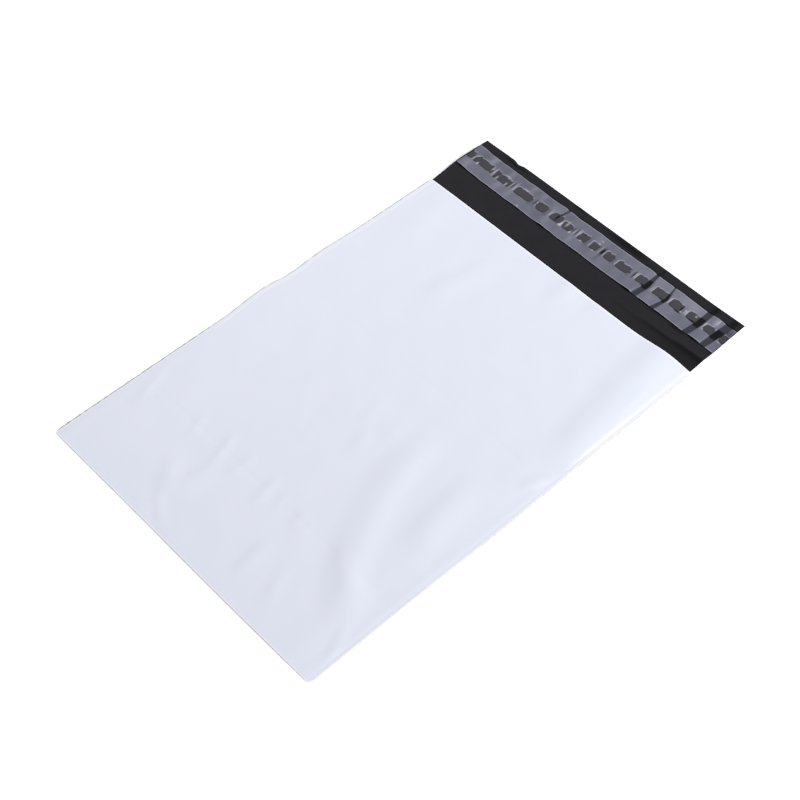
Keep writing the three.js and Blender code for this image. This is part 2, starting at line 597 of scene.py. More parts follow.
@dataclass(frozen=True)
class Spot:
    """A small oval mark on a film."""

    across: float
    row: float
    half_across: float
    half_row: float
    amount: float = 1.0
    sharpness: float = 2.0  # 1 fades away softly and 2 has an edge

    def cover(self, across: Grid, row: Grid) -> Grid:
        """Works out how strong the mark is at each place."""
        share = ((across - self.across) / self.half_across) ** 2 + ((row - self.row) / self.half_row) ** 2
        return self.amount * np.exp(-(share**self.sharpness))


def strongest(marks: tuple[Any, ...], *place: Any) -> Grid:
    """Gives the strongest of some marks at each place."""
    return np.max([mark.cover(*place) for mark in marks], axis=0)


@dataclass(frozen=True)
class FlapCrease:
    """A crease across the flap. It stands up to the right and turns its near side from the light."""

    start: tuple[float, float]
    end: tuple[float, float]
    height: float = 0.5
    near_side: float = 6.0
    far_side: float = 2.5
    shade: float = 4.5

    def depth(self, across: Grid, along: Grid) -> tuple[Grid, Grid]:
        """Works out where each place lies on the crease.

        Args:
            across: Places across the bag.
            along: Places along the bag.

        Returns:
            How far along the crease it is, from 0 to 1, and how far it is on the crease's near side.
        """
        share = np.clip((across - self.start[0]) / (self.end[0] - self.start[0]), 0, 1)
        crest = self.start[1] + (self.end[1] - self.start[1]) * share**1.3
        return share, crest - along

    def relief(self, across: Grid, along: Grid) -> Grid:
        """Works out how high the crease stands."""
        share, near = self.depth(across, along)
        return self.height * share * bell(near, np.where(near > 0, self.near_side, self.far_side))

    def shaded(self, across: Grid, along: Grid) -> Grid:
        """Works out how much of the light the crease's near side loses, from 0 to 1."""
        share, near = self.depth(across, along)
        deep = 1.0 - ease((near - self.shade * share * 0.4) / (1.0 + self.shade * share), 1.0)
        whole_side = 0.4 * share * ease(12.0 - near, 4.0)
        return ease(near + 0.4, 0.6) * np.maximum(0.95 * share**0.5 * deep, whole_side)


@dataclass(frozen=True)
class LyingBag:
    """The shape that the whole bag takes on the table: every piece follows it."""

    half_width: float
    length: float
    pocket: float
    film: float = 0.065
    seam: float = 1.2
    slack: float = 0.32
    seam_ease: float = 22.0
    seam_arc: float = 10.0
    edge_reach: float = 24.0
    left_lifts: tuple[EdgeLift, ...] = (EdgeLift(286, 27, 0.9),)
    right_lifts: tuple[EdgeLift, ...] = (EdgeLift(310, 34, 0.6),)
    left_bulges: tuple[EdgeBulge, ...] = (
        EdgeBulge(138, 32, 17, 1.75),
        EdgeBulge(180, 24, 30, 1.0),
        EdgeBulge(120, 170, 170, 0.4),
        EdgeBulge(285, 26, 60, 1.2),
    )
    right_bulges: tuple[EdgeBulge, ...] = (
        EdgeBulge(150, 150, 400, 0.4),
        EdgeBulge(125, 80, 80, 0.5),
        EdgeBulge(258, 160, 5, 0.45),
    )
    lip_bulge: EdgeBulge = EdgeBulge(83, 30, 30, 1.45)
    flap_crease: FlapCrease = field(default_factory=lambda: FlapCrease((36, 269.6), (97, 273.6)))
    folds: tuple[Ridge | Dent, ...] = (
        # The lip stands open near the right seam. That wave runs down beside it to a small sharp crease.
        Ridge((77, 264), (80, 212), (93, 158), 0.64, 22, 17, rise=0.0, fall=0.3),
        Ridge((82, 145), (90, 148), (92.5, 168), 0.4, 6.5, 4, rise=0.45, fall=0.5),
        Ridge((86, 240), (87.5, 225), (89.5, 205), 0.1, 3, 3),
        # A long fold curves down from the middle of the panel to the right corner.
        Ridge((36, 146), (33, 76), (90, 26), 0.5, 13, 16, rise=0.25, fall=0.2),
        Ridge((53, 60), (64, 50), (76, 40), 0.18, 9, 7),
        Ridge((69, 144), (67, 104), (77, 78), 0.4, 13, 11, rise=0.4, fall=0.35),
        Ridge((84, 34), (88, 24), (94, 10), 0.18, 6, 3.5, rise=0.4, fall=0.3),
        # Low humps in the upper panel.
        Ridge((-35, 190), (-36, 214), (-22, 240), 0.3, 9, 13),
        Dent((-78, 240), 9, 20, 0.24),
        Dent((-93, 250), 5, 12, -0.15),
        Ridge((12, 266), (13, 254), (12, 236), 0.22, 9, 8, rise=0.0, fall=0.6),
        Ridge((28, 266), (27, 254), (26, 240), -0.1, 6, 6, rise=0.0, fall=0.6),
        # The bag was packed folded in three, which leaves two faint lines of dimples across it.
        Ridge((-95, 156.6), (0, 157.4), (86, 157.0), -0.035, 2.2, 8, rise=0.03, fall=0.03),
        Ridge((-92, 54.3), (0, 53.7), (88, 54.2), -0.028, 2.6, 3.4, rise=0.1, fall=0.1),
        Ridge((-54, 63), (-51.5, 54), (-46, 45), 0.13, 4, 4),
        Ridge((-35, 66), (-30, 56), (-27, 40), 0.18, 4.5, 4.5),
        Ridge((-17, 65), (-15, 54), (-18, 43), 0.14, 5, 5.5),
        Ridge((0, 66), (3, 55), (5, 42), 0.18, 4.5, 5.5),
        Ridge((12, 60), (13, 54), (15, 47), 0.07, 4, 4),
        Ridge((25, 62), (27, 54), (27, 46), 0.14, 5, 4.5),
        Ridge((32, 60), (33, 54), (32, 47), 0.08, 4, 4),
        Ridge((50, 62), (54, 55), (62, 44), 0.06, 5, 5),
        Dent((84, 55), 3.5, 4.5, -0.12),
        # Faint creases near the bottom corners and in the middle.
        Ridge((-90, 68), (-87, 54), (-80, 36), 0.2, 3.5, 6),
        Ridge((-45, 38), (-38, 24), (-26, 14), 0.24, 8, 8),
        Ridge((-34, 15), (-26, 12), (-12, 1), 0.16, 4, 4),
        Ridge((-25, 48), (-25, 32), (-31, 18), 0.18, 11, 6),
        Ridge((-26, 101), (-18, 95), (-12, 84), 0.09, 5, 4.5),
        Ridge((-13, 102), (-9, 93), (-6, 82), 0.08, 5, 4.5),
        Ridge((-1, 140), (3, 126), (5, 108), 0.11, 6, 5),
        Ridge((7, 118), (12, 109), (16, 94), 0.1, 6, 5),
        Ridge((17, 140), (20, 122), (23, 104), 0.08, 6, 6),
        Ridge((25, 42), (27, 24), (29, 8), 0.14, 7, 5),
        Ridge((40, 38), (46, 24), (53, 8), 0.14, 6, 6),
        Dent((-60, 200), 16, 30, 0.05),
    )

    def underside(self, across: Grid, along: Grid) -> Grid:
        """Works out how high the back layer's underside is over the table.

        Args:
            across: Places across the bag.
            along: Places along the bag.

        Returns:
            The height at each place, in mm. It is 0 where the bag lies on the table.
        """
        left = self.lifted(self.left_lifts, along, across + self.half_width)
        right = self.lifted(self.right_lifts, along, self.half_width - across)
        return left + right + ease(along - self.pocket, 4.0) * self.flap_crease.relief(across, along)

    def lifted(self, lifts: tuple[EdgeLift, ...], along: Grid, from_edge: Grid) -> Grid:
        """Works out the height of a side edge's waves.

        Args:
            lifts: The edge's waves.
            along: Places along the bag.
            from_edge: How far each place is from the edge.

        Returns:
            The height at each place, in mm.
        """
        waves = sum(lift.height * bell(along - lift.place, lift.half_length) for lift in lifts)
        return waves * (1.0 - ease(from_edge, self.edge_reach))

    def gap(self, across: Grid, along: Grid) -> Grid:
        """Works out how far the two layers of the pocket stand apart.

        Args:
            across: Places across the bag.
            along: Places along the bag.

        Returns:
            The clear gap at each place, in mm. It is 0 at the seams.
        """
        from_seam = self.half_width - self.seam - np.abs(across)
        slack = self.slack * ease(from_seam + 4.0, self.seam_ease) * (0.65 + 0.35 * ease(along, 30.0))
        slack = slack + sum(fold.relief(across, along) for fold in self.folds)
        slack = slack + 0.03 * ripple(across, along, 11, 18, 55) + 0.003 * ripple(across, along, 12, 6, 14)
        slack = slack - 0.12 * ease(along - self.pocket + 0.8, 0.8)
        pressed = np.sqrt(ease(from_seam, 3.0))
        round_end = np.sqrt(1.0 - (1.0 - np.clip(from_seam / self.seam_arc, 0, 1)) ** 2)
        fullness = ease(across, self.half_width) * ease(along - 145.0, 25.0)
        return np.maximum(slack, 0.12) * (pressed + (np.minimum(round_end, pressed) - pressed) * fullness)

    def cut_out(self, across: Grid, along: Grid) -> Grid:
        """Works out how far the side edges are moved out by the knife's wandering.

        Args:
            across: Places across the bag.
            along: Places along the bag.

        Returns:
            The move towards the nearer edge at each place, in mm. It fades away from the edge.
        """
        left = sum(bulge.shift(along) for bulge in self.left_bulges)
        right = sum(bulge.shift(along) for bulge in self.right_bulges)
        near_edge = ease(np.abs(across) - self.half_width / 2, self.half_width / 2)
        return np.where(across < 0, left, right) * near_edge


# ----------------------------------------------------------------------
# Meshes


@dataclass
class Skin:
    """Collects the points and faces of one closed film, layer by layer."""

    points: list[Grid] = field(default_factory=list)
    faces: list[Grid] = field(default_factory=list)
    finishes: list[Grid] = field(default_factory=list)
    marks: dict[str, list[Grid]] = field(default_factory=dict)
    count: int = 0

    def grid(self, across: Grid, along: Grid, height: Grid, **marks: Grid) -> Grid:
        """Adds a grid of points.

        Args:
            across: Their places across the bag, in mm.
            along: Their places along the bag, in mm.
            height: Their heights over the table, in mm.
            **marks: A value at each point for each named mark. Left out marks are 0.

        Returns:
            The points' numbers, as a grid.
        """
        shape = height.shape
        places = [np.broadcast_to(values, shape).ravel() for values in (across, along, height)]
        self.points.append(np.stack(places, axis=1))
        numbers = np.arange(self.count, self.count + height.size).reshape(shape)
        self.count += height.size
        for name in self.marks:
            value = marks.get(name, np.zeros(shape))
            self.marks[name].append(np.broadcast_to(value, shape).ravel())
        return numbers

    def layer(self, numbers: Grid, facing_up: bool, finish: Finish = Finish.WHITE) -> None:
        """Adds the faces of a layer through a grid of points.

        Args:
            numbers: The points' numbers, with rows in order of the way along.
            facing_up: Whether the layer's outside is its upper side.
            finish: The finish of that side.
        """
        corners = [numbers[:-1, :-1], numbers[:-1, 1:], numbers[1:, 1:], numbers[1:, :-1]]
        if not facing_up:
            corners = [corners[0], corners[3], corners[2], corners[1]]
        quads = np.stack([c.ravel() for c in corners], axis=1)
        self.faces.append(quads)
        self.finishes.append(np.full(len(quads), finish.value))

    def wall(self, lower: Grid, upper: Grid, finish: Finish = Finish.WHITE) -> None:
        """Adds a wall between two lines of points."""
        self.layer(np.stack([lower, upper]), True, finish)

    def build(self, name: str, middle: float, materials: list[bpy.types.Material]) -> bpy.types.Object:
        """Makes the mesh object.

        Args:
            name: The piece's name.
            middle: The place along the bag that is the frame's origin, in mm.
            materials: One for each finish that the faces use.

        Returns:
            The object, in the scene.
        """
        points = np.concatenate(self.points)
        points[:, 1] -= middle
        quads = np.concatenate(self.faces)
        used, renumbered = np.unique(quads, return_inverse=True)
        renumbered = renumbered.reshape(quads.shape)
        faces = [list(dict.fromkeys(face)) for face in renumbered.tolist()]
        kept = [number for number, face in enumerate(faces) if len(face) > 2]
        mesh = bpy.data.meshes.new(name)
        mesh.from_pydata((points[used] * MM).tolist(), [], [faces[number] for number in kept])
        for material in materials:
            mesh.materials.append(material)
        mesh.polygons.foreach_set("material_index", np.concatenate(self.finishes)[kept])
        mesh.polygons.foreach_set("use_smooth", np.ones(len(kept), bool))
        mesh.set_sharp_from_angle(angle=math.radians(40))
        for mark, values in self.marks.items():
            stored = mesh.attributes.new(mark, "FLOAT", "POINT")
            stored.data.foreach_set("value", np.concatenate(values)[used].astype(np.float32))
        mesh.validate()
        piece = bpy.data.objects.new(name, mesh)
        bpy.context.scene.collection.objects.link(piece)
        return piece


@dataclass
class FoldedFilm:
    """The bag itself: one strip of film.

    It runs from the free edge, under the pocket, round the fold and up to the lip.
    """

    lie: LyingBag
    white: WhiteFilm = field(default_factory=WhiteFilm)
    black: BlackFilm = field(default_factory=BlackFilm)
    spacing: float = 1.5
    row_spacing: float = 2.3
    fine_spacing: float = 0.35
    seam_columns: int = 3
    fold_steps: int = 6
    # How far round the fold the painted shade goes; past it comes painted highlight.
    scorched_turn: float = 0.7 * math.pi
    jag: float = 0.05
    fold_bow: float = 0.75
    corner: float = 1.6
    # How far the painted highlight reaches in from the lip and the fold.
    whitened: float = 0.55
    lip_reach: float = 40.0
    fold_lines: tuple[float, ...] = (54.0, 157.6)
    liner_edges: tuple[float, float] = (280.4, 300.2)
    nicks: tuple[EdgeBulge, ...] = (EdgeBulge(-69.5, 4.5, 4.5, 0.8), EdgeBulge(-92, 14, 14, 0.25))
    nick_reach: float = 8.0
    # How far the painted shade lines reach beside the liner and the lip.
    wetted: float = 0.6
    # Patches of deeper black: partly painted shade, partly dark smudges.
    dull_patches: tuple[Spot, ...] = (
        Spot(-71, 304.4, 9, 1.3, 0.8),
        Spot(-22, 305.8, 4, 0.9, 0.8),
        Spot(14, 304.2, 15, 2.2, 0.75),
        Spot(33, 302.0, 5, 1.0, 0.4),
        Spot(41, 303.5, 0.9, 4.0, 0.7),
        Spot(77.7, 303.5, 1.9, 5.0, 0.8),
        Spot(90.2, 303.5, 1.9, 5.0, 0.8),
        Spot(71, 278.8, 6, 1.0, 0.7),
        Spot(53, 279.0, 4, 0.7, 0.4),
        Spot(88, 266.0, 12, 6.0, 0.35),
    )

    def columns(self) -> Grid:
        """Places of the columns: a few over each seam, then graded across the pocket."""
        inside = self.lie.half_width - self.lie.seam
        pocket = graded(-inside, inside, self.fine_spacing, self.spacing)
        over_seam = np.arange(self.seam_columns) * 0.5 - self.lie.half_width
        return np.concatenate([over_seam, pocket, -over_seam[::-1]])

    def plan(self, across: Grid, along: Grid) -> tuple[Grid, Grid]:
        """Moves points in plan: the cut sides are a little ragged and bowed, and so is the fold.

        Args:
            across: Places across the bag.
            along: Places along the bag.

        Returns:
            The moved places across and along.
        """
        lie = self.lie
        outward = np.sign(across)
        near_side = ease(np.abs(across) - lie.half_width + 3, 3)
        left_rag = ripple(np.zeros_like(along), along, 21, 2.2, 9.0)
        right_rag = ripple(np.zeros_like(along), along, 22, 2.2, 9.0)
        ragged = self.jag * np.where(across > 0, right_rag, left_rag) * near_side
        moved_across = across + outward * (ragged + lie.cut_out(across, along))
        from_corner = np.clip(1 - (lie.half_width - np.abs(across)) / self.corner, 0, 1)
        rounding = self.corner * (1 - np.sqrt(1 - from_corner**2)) * 0.6
        bow = self.fold_bow + 0.35 * bell(across - 32, 80)
        fold_shift = (rounding - bow) * (1 - ease(along, 60))
        return moved_across, along + fold_shift

    def taut(self, across: Grid, along: Grid) -> Grid:
        """Works out where the white film gets painted highlight: at the lip, at the fold and in bands beside
        the seams.

        Args:
            across: Places across the bag.
            along: Places along the bag.

        Returns:
            How white it is at each place, from 0 to 1.
        """
        lie = self.lie
        at_lip = 1 - ease(lie.pocket - along - self.whitened, 0.3)
        at_fold = 1 - ease(along - self.whitened + 0.1, 0.3)
        beside_right = 0.6 * bell(across - lie.half_width + 1.4, 2.8) * ease(along - 165, 30)
        beside_left = 0.5 * bell(across + lie.half_width - 1.6, 1.2) * ease(along - 90, 20)
        return np.max([at_lip, 0.9 * at_fold, beside_right, beside_left], axis=0)

    def dull(self, across: Grid, along: Grid) -> Grid:
        """Works out where the flap is painted a deeper black: painted shade by the liner, the lip and the
        crease, and patches that are partly painted shade and partly dark smudges.

        Args:
            across: Places across the bag.
            along: Places along the bag.

        Returns:
            How strong the deeper black is at each place, from 0 to 1.
        """
        lie = self.lie
        # Painted shade lines along the liner's edges and just past the lip.
        from_liner = np.maximum(self.liner_edges[0] - along, along - self.liner_edges[1])
        from_lip = lie.pocket + 0.3 - along + 99 * (along > 262)
        from_wet = np.minimum(np.abs(from_liner - 0.2), from_lip)
        wet = 1.0 - ease(np.abs(from_wet) - 0.2, self.wetted)
        patches = strongest(self.dull_patches, across, along)
        return np.max([wet, patches, lie.flap_crease.shaded(across, along)], axis=0)

    def add_pocket(self, skin: Skin, columns: Grid) -> tuple[Grid, Grid, Grid, Grid, Grid]:
        """Adds the points of the pocket.

        Args:
            skin: What they are added to.
            columns: The columns' places across the bag.

        Returns:
            Point numbers of the underside, floor, ceiling and front, and the gap along the fold.
        """
        lie = self.lie
        stops = (0.0, *self.fold_lines, lie.pocket)
        fine, coarse = self.fine_spacing, self.row_spacing
        stretches = [graded(start, end, fine, coarse) for start, end in zip(stops, stops[1:])]
        across, along = np.meshgrid(columns, np.unique(np.concatenate(stretches).round(4)))
        gap = lie.gap(across, along)
        gap[:, : self.seam_columns + 1] = 0.0
        gap[:, -self.seam_columns - 1 :] = 0.0
        low = lie.underside(across, along)
        along[0] = lie.film + gap[0] / 2
        moved = self.plan(across, along)
        lip_shift = lie.lip_bulge.shift(across) * ease(along - lie.pocket + self.lip_reach, self.lip_reach)
        moved_front = (moved[0], moved[1] + lip_shift)
        under = skin.grid(*moved, low)
        floor = skin.grid(*moved, low + lie.film)
        ceiling = skin.grid(*moved_front, low + lie.film + gap)
        # The front layer gets painted highlight at the lip, the fold and beside the seams.
        front = skin.grid(*moved_front, low + gap + 2 * lie.film, whitened=self.taut(across, along))
        return under, floor, np.where(gap == 0.0, floor, ceiling), front, gap[0]

    def add_flap(self, skin: Skin, columns: Grid) -> tuple[Grid, Grid]:
        """Adds the points of the flap, past the lip.

        Args:
            skin: What they are added to.
            columns: The columns' places across the bag.

        Returns:
            Point numbers of its underside and of its top.
        """
        lie = self.lie
        near, far = self.liner_edges
        stops = (lie.pocket, near - 0.3, far + 0.3, lie.length)
        stretches = [graded(start, end, 0.25, 1.6)[1:] for start, end in zip(stops, stops[1:])]
        across, along = np.meshgrid(columns, np.concatenate(stretches))
        low = lie.underside(across, along)
        moved = self.plan(across, along)
        nick = sum(notch.shift(across) for notch in self.nicks)
        nick = nick * ease(along - lie.length + self.nick_reach, self.nick_reach)
        curled = bell(across - self.nicks[0].place, 2.5) * ease(along - lie.length + 0.7, 0.5)
        moved = (moved[0], moved[1] - nick)
        under = skin.grid(*moved, low)
        # The top gets painted shade with dark smudges, and the white side where the nick curls.
        top = skin.grid(*moved, low + lie.film, whitened=curled, wetted=self.dull(across, along))
        return under, top

    def build(self) -> bpy.types.Object:
        """Makes the folded film.

        Returns:
            The piece.
        """
        skin = Skin(marks={"whitened": [], "scorched": [], "wetted": []})
        columns = self.columns()
        under, floor, ceiling, front, fold_gap = self.add_pocket(skin, columns)
        flap_under, flap_top = self.add_flap(skin, columns)
        flap_under = np.concatenate([under[-1:], flap_under])
        flap_top = np.concatenate([floor[-1:], flap_top])
        inside = slice(self.seam_columns, len(columns) - self.seam_columns)
        skin.layer(under, False)
        skin.layer(front, True)
        skin.layer(floor[:, inside], True, Finish.BLACK)
        skin.layer(ceiling[:, inside], False, Finish.BLACK)
        skin.layer(flap_under, False)
        skin.layer(flap_top, True, Finish.BLACK)
        skin.wall(front[-1], ceiling[-1])
        skin.wall(flap_top[-1], flap_under[-1], Finish.BLACK)
        self.add_fold(skin, columns, (under[0], floor[0], ceiling[0], front[0]), fold_gap, inside)

        pocket_rows = len(front)
        all_under = np.concatenate([under, flap_under[1:]])
        all_weld = np.concatenate([floor, flap_top[1:]])
        skin.wall(all_weld[:, 0], all_under[:, 0])
        skin.wall(front[:, 0], all_weld[:pocket_rows, 0])
        skin.wall(all_under[:, -1], all_weld[:, -1])
        skin.wall(all_weld[:pocket_rows, -1], front[:, -1])
        return skin.build("bag_film_folded", self.lie.length / 2, [self.white.make(), self.black.make()])

    def add_fold(
        self, skin: Skin, columns: Grid, edges: tuple[Grid, ...], gap: Grid, inside: slice
    ) -> None:
        """Adds the bottom fold, where the film turns half a circle from the back layer to the front one.

        Args:
            skin: What it is added to.
            columns: The columns' places across the bag.
            edges: Point numbers along the fold: of the underside, the floor, the ceiling and the front.
            gap: The gap between the layers at each column.
            inside: The columns where the pocket is open.
        """
        lie = self.lie
        under, floor, ceiling, front = edges
        centre = lie.film + gap / 2
        middle = lie.underside(columns, np.zeros_like(columns)) + centre
        outer_rows = [under]
        inner_rows = [floor]
        for step in range(1, self.fold_steps):
            turn = math.pi * step / self.fold_steps
            for radius, rows in ((centre, outer_rows), (gap / 2, inner_rows)):
                place = self.plan(columns, centre - radius * math.sin(turn))
                level = middle - radius * math.cos(turn)
                # Most of the fold's turn gets painted shade, and its last part, next to the front layer,
                # painted highlight.
                scorched = np.full_like(level, 1.0 if turn < self.scorched_turn else 0.0)
                whitened = np.full_like(level, 0.9 if turn > self.scorched_turn else 0.0)
                rows.append(skin.grid(*place, level, scorched=scorched, whitened=whitened))
            inner_rows[-1] = np.where(gap == 0.0, floor, inner_rows[-1])
        outer = np.stack([*outer_rows, front])
        inner = np.stack([*inner_rows, ceiling])
        skin.layer(outer, True)
        skin.layer(inner[:, inside], False, Finish.BLACK)
        left_end = np.stack([np.full(len(outer), floor[0]), outer[:, 0]])
        right_end = np.stack([outer[:, -1], np.full(len(outer), floor[-1])])
        skin.layer(left_end, True)
        skin.layer(right_end, True)


@dataclass
class SideBead:
    """The flat fin of melted film that the hot knife leaves along one side of the pocket."""

    lie: LyingBag
    film: FoldedFilm
    side: int
    width: float
    # How grey the fin's outer side is below and above 85 mm along: partly fused film, partly painted shade.
    burn: tuple[float, float]
    burnt_from: float = -0.15
    height: float = 0.09
    spacing: float = 0.8
    corners: int = 16
    finish: FusedBead = field(default_factory=FusedBead)

    def build(self) -> bpy.types.Object:
        """Makes the fin as a flat, slightly lumpy tube.

        Returns:
            The piece.
        """
        lie = self.lie
        rows = np.arange(0.9, lie.pocket - 0.2, self.spacing)
        lump = 1.0 + 0.07 * ripple(np.zeros_like(rows), rows, 31 + self.side, 2.5, 9.0)
        taper = np.sqrt(np.clip(ease(rows - rows[0], 2.0) * ease(rows[-1] - rows, 2.0), 0.02, 1.0))
        edge = np.full_like(rows, self.side * lie.half_width)
        across, along = self.film.plan(edge, rows)
        across += self.side * (self.width / 2 - 0.12)
        level = lie.underside(edge, rows) + lie.film + 0.01
        turn = np.linspace(0.0, 2 * math.pi, self.corners + 1)[None, :]
        half_width = (self.width / 2 * lump * taper)[:, None]
        half_height = (self.height / 2 * lump * taper)[:, None]
        skin = Skin(marks={"scorched": []})
        ring_across = across[:, None] + half_width * np.cos(turn)
        ring_level = np.maximum(level[:, None] + half_height * np.sin(turn), 0.0)
        # The fin's outer side gets grey that is partly fused film and partly painted shade.
        burn = self.burn[0] + (self.burn[1] - self.burn[0]) * ease(rows - 85, 25)[:, None]
        outermost = ease(self.side * np.cos(turn) - self.burnt_from, 0.2) * burn
        numbers = skin.grid(ring_across, along[:, None] + np.zeros_like(turn), ring_level, scorched=outermost)
        numbers[:, -1] = numbers[:, 0]
        skin.layer(numbers, False)
        for end, outward in ((0, True), (-1, False)):
            middle = skin.grid(across[[end]], along[[end]], level[[end]])
            fan = np.stack([np.full(numbers.shape[1], middle[0]), numbers[end]])
            skin.layer(fan, not outward)
        side = "left" if self.side < 0 else "right"
        return skin.build(f"weld_fin_{side}", lie.length / 2, [self.finish.make()])


@dataclass
class FlapStrip:
    """A flat strip that runs across the flap and follows its waves."""

    lie: LyingBag
    near: float
    far: float
    base: float
    thickness: float
    spacing: float = 0.3

    def places(self) -> tuple[Grid, Grid]:
        """Works out the strip's grid.

        Returns:
            The places across and along.
        """
        half_width = self.lie.half_width
        columns = np.linspace(-half_width, half_width, round(2 * half_width / self.spacing))
        rows = graded(self.near, self.far, 0.2, self.spacing)
        across, along = np.meshgrid(columns, rows)
        return across, along

    def closed(self, skin: Skin, moved: tuple[Grid, Grid], low: Grid, high: Grid, **marks: Grid) -> None:
        """Adds the strip's two sides and its edges.

        Args:
            skin: What they are added to.
            moved: The places across and along.
            low: Heights of the strip's underside.
            high: Heights of its top.
            **marks: Marks on the top.
        """
        lower = skin.grid(*moved, low)
        upper = skin.grid(*moved, high, **marks)
        skin.layer(lower, False)
        skin.layer(upper, True)
        skin.wall(lower[0], upper[0])
        skin.wall(upper[-1], lower[-1])
        skin.wall(upper[:, 0], lower[:, 0])
        skin.wall(lower[:, -1], upper[:, -1])


@dataclass
class AdhesiveStrip(FlapStrip):
    """The ribbon of hot-melt adhesive under the liner."""

    finish: HotMelt = field(default_factory=HotMelt)

    def build(self) -> bpy.types.Object:
        """Makes the ribbon, with edges that wander as the wet adhesive flowed.

        Returns:
            The piece.
        """
        across, along = self.places()
        middle = (self.near + self.far) / 2
        flow = 1.0 + 0.05 * ripple(across, np.zeros_like(across), 41, 4, 20)
        along = middle + (along - middle) * flow
        low = self.lie.underside(across, along) + self.base
        skin = Skin()
        self.closed(skin, (across, along), low, low + self.thickness)
        return skin.build("adhesive_ribbon", self.lie.length / 2, [self.finish.make()])


@dataclass(frozen=True)
class Buckle:
    """A crease where the liner buckles across its width and is pressed down. On the liner its darker colour
    is partly painted shade.

    It is given by its middle and width at the liner's near edge, its middle line and its far edge.
    """

    near: float
    middle: float
    far: float
    near_width: float
    middle_width: float
    far_width: float
    begins: float = -99.0

    def cover(self, across: Grid, row: Grid, half: float, border: float = 0.4) -> Grid:
        """Works out where the crease is.

        Args:
            across: Places across the bag.
            row: Distances from the liner's middle line.
            half: Half the liner's width.
            border: How wide the border round it is.

        Returns:
            1 in the crease, 0 outside, with a narrow border.
        """
        rows = (-half, 0.0, half)
        middle = np.interp(row, rows, (self.near, self.middle, self.far))
        width = np.interp(row, rows, (self.near_width, self.middle_width, self.far_width))
        band = 1.0 - ease(np.abs(across - middle) - width / 2 + border / 2, border)
        return band * ease(row - self.begins, 0.6)


@dataclass(frozen=True)
class PressedPad:
    """A rounded block of liner that is pressed down onto the adhesive."""

    start: float
    end: float
    low: float = -2.9
    high: float = 3.5
    corner: float = 1.2

    def distance(self, across: Grid, row: Grid) -> Grid:
        """Works out how far each place is outside the block.

        Args:
            across: Places across the bag.
            row: Distances from the liner's middle line.

        Returns:
            The distance in mm, negative inside.
        """
        off_x = np.abs(across - (self.start + self.end) / 2) - (self.end - self.start) / 2 + self.corner
        off_y = np.abs(row - (self.low + self.high) / 2) - (self.high - self.low) / 2 + self.corner
        outside = np.hypot(np.maximum(off_x, 0), np.maximum(off_y, 0))
        return outside + np.minimum(np.maximum(off_x, off_y), 0) - self.corner


